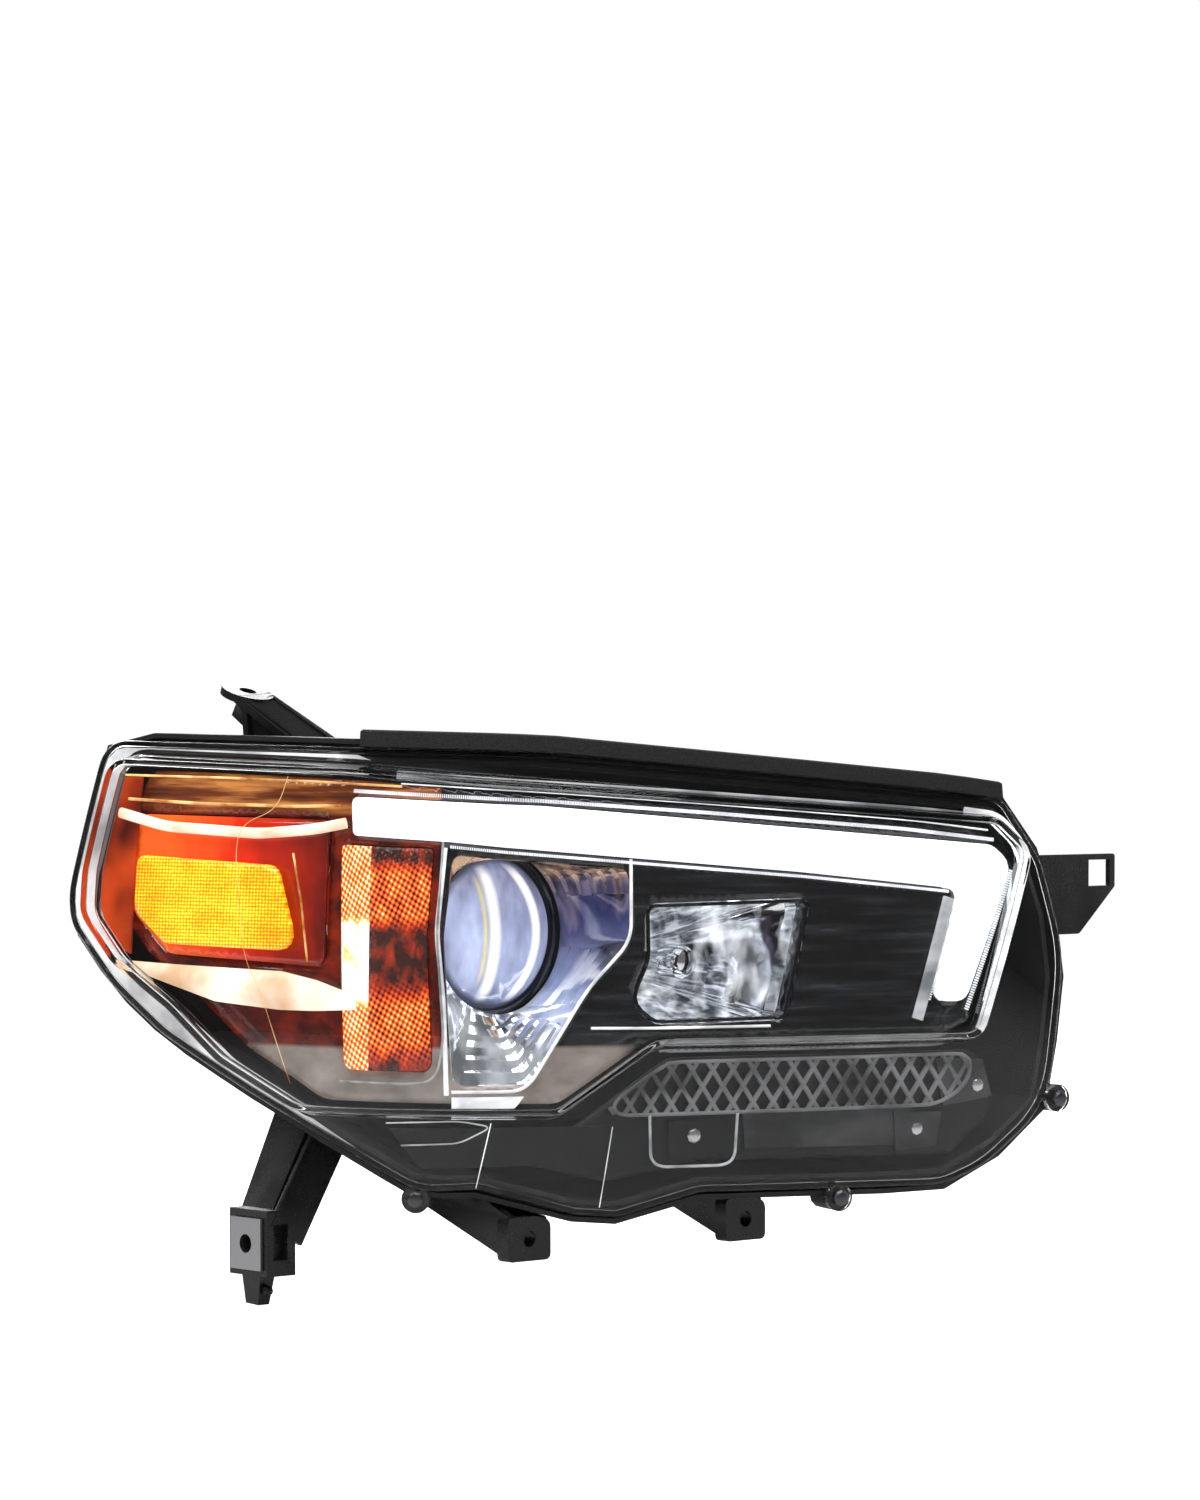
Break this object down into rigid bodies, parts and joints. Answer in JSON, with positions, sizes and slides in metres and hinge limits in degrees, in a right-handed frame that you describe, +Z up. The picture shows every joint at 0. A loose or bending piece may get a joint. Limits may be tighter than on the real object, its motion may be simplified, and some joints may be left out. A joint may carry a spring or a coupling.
{
  "type": "car headlight assembly",
  "caption": "Right-hand car headlight with clear wrap-round lens, projector low beam, reflector high beam, light-guide running lamp, amber side lamps, aim adjuster and mounting brackets.",
  "frame": {"origin": "on the front face of the inner lower mounting tab, 7 mm below the centre of its bolt hole", "axes": "+X inboard towards the grille, -Y forward, +Z up"},
  "size_m": [0.4427, 0.3472, 0.3108],
  "materials": {
    "black_plastic": "fine-grained black polypropylene",
    "gloss_black": "polished black",
    "metallised_plastic": "vacuum-metallised, mirror bright",
    "bright_aluminium": "polished reflector surface",
    "clear_polycarbonate": "clear, hard-coated",
    "amber_plastic": "transparent amber",
    "optical_glass": "polished clear glass",
    "light_guide": "clear acrylic, lit white",
    "adjuster_nylon": "natural glass-filled nylon",
    "zinc_steel": "zinc plated",
    "rubber": "soft moulded black",
    "foam": "open-cell black foam",
    "sealant": "butyl bead",
    "circuit_board": "white solder mask"
  },
  "bodies": {
    "housing": {"housing": "black_plastic", "outer_lens": "clear_polycarbonate", "lens_sealant": "sealant", "hood_seal": "foam", "lens_screw_outboard": "zinc_steel", "lens_screw_middle": "zinc_steel", "lens_screw_inboard": "zinc_steel", "bezel": "gloss_black", "projector_shroud": "metallised_plastic", "high_beam_surround": "gloss_black", "lower_trim": "black_plastic", "grille_mesh": "black_plastic", "trim_screw_outboard": "zinc_steel", "trim_screw_middle": "zinc_steel", "trim_screw_inboard": "zinc_steel", "drl_light_guide": "light_guide", "drl_channel": "gloss_black", "drl_board": "circuit_board", "turn_signal_lens": "amber_plastic", "turn_signal_reflector": "metallised_plastic", "side_marker_lens": "amber_plastic", "side_reflex_reflector": "amber_plastic", "side_marker_reflector": "metallised_plastic", "pivot_stud_outboard": "zinc_steel", "pivot_stud_inboard": "zinc_steel", "main_connector": "black_plastic", "vent_cap_upper": "rubber", "vent_cap_lower": "rubber", "upper_bracket": "black_plastic", "inboard_bracket": "black_plastic", "lower_tab_inner": "black_plastic", "lower_tab_outer": "black_plastic", "fender_bracket": "black_plastic", "fender_clip_nut": "zinc_steel"},
    "carrier": {"carrier_frame": "black_plastic", "projector_lens": "optical_glass", "projector_lens_ring": "gloss_black", "cutoff_shield": "zinc_steel", "projector_reflector": "bright_aluminium", "high_beam_reflector": "metallised_plastic", "high_beam_bulb_shield": "bright_aluminium"},
    "low_beam_bulb": {"low_beam_bulb": "optical_glass"},
    "high_beam_bulb": {"high_beam_bulb": "optical_glass"},
    "aim_ball_nut": {"aim_ball_nut": "adjuster_nylon"},
    "aim_screw": {"aim_screw": "adjuster_nylon"},
    "low_beam_cap": {"low_beam_cap": "rubber"},
    "high_beam_cap": {"high_beam_cap": "rubber"},
    "turn_signal_socket": {"turn_signal_socket": "black_plastic", "turn_signal_bulb": "amber_plastic"},
    "side_marker_socket": {"side_marker_socket": "black_plastic", "side_marker_bulb": "amber_plastic"}
  },
  "joints": [
    {"name": "carrier_tilt", "type": "hinge", "parent": "housing", "child": "carrier", "pos_m": [-0.0846, 0.06887, 0.202], "axis": [1, 0, 0], "range_deg": [-1.5, 1.5]},
    {"name": "aim_nut_slide", "type": "slide", "parent": "housing", "child": "aim_ball_nut", "axis": [0, 1, 0], "range_m": [-0.003, 0.003]},
    {"name": "aim_screw_turn", "type": "hinge", "parent": "housing", "child": "aim_screw", "pos_m": [-0.08255, 0.0671, 0.094], "axis": [0, 1, 0], "range_deg": [-345, 345]},
    {"name": "low_bulb_twist", "type": "hinge", "parent": "carrier", "child": "low_beam_bulb", "pos_m": [-0.13555, 0.12187, 0.156], "axis": [0, 1, 0], "range_deg": [0, 30]},
    {"name": "high_bulb_twist", "type": "hinge", "parent": "carrier", "child": "high_beam_bulb", "pos_m": [-0.04355, 0.06557, 0.14], "axis": [0, 1, 0], "range_deg": [0, 30]},
    {"name": "low_cap_slide", "type": "slide", "parent": "housing", "child": "low_beam_cap", "axis": [0, 1, 0], "range_m": [0, 0.03]},
    {"name": "high_cap_slide", "type": "slide", "parent": "housing", "child": "high_beam_cap", "axis": [0, 1, 0], "range_m": [0, 0.03]},
    {"name": "turn_socket_twist", "type": "hinge", "parent": "housing", "child": "turn_signal_socket", "pos_m": [-0.19355, 0.20291, 0.128], "axis": [0, 1, 0], "range_deg": [0, 45]},
    {"name": "side_socket_twist", "type": "hinge", "parent": "housing", "child": "side_marker_socket", "pos_m": [-0.17422, 0.1813, 0.202], "axis": [1, 0, 0], "range_deg": [0, 45]}
  ],
  "couplings": [
    {"joint": "aim_nut_slide", "follows": "carrier_tilt", "m_per_rad": 0.108},
    {"joint": "aim_screw_turn", "follows": "carrier_tilt", "ratio": -226.19}
  ]
}
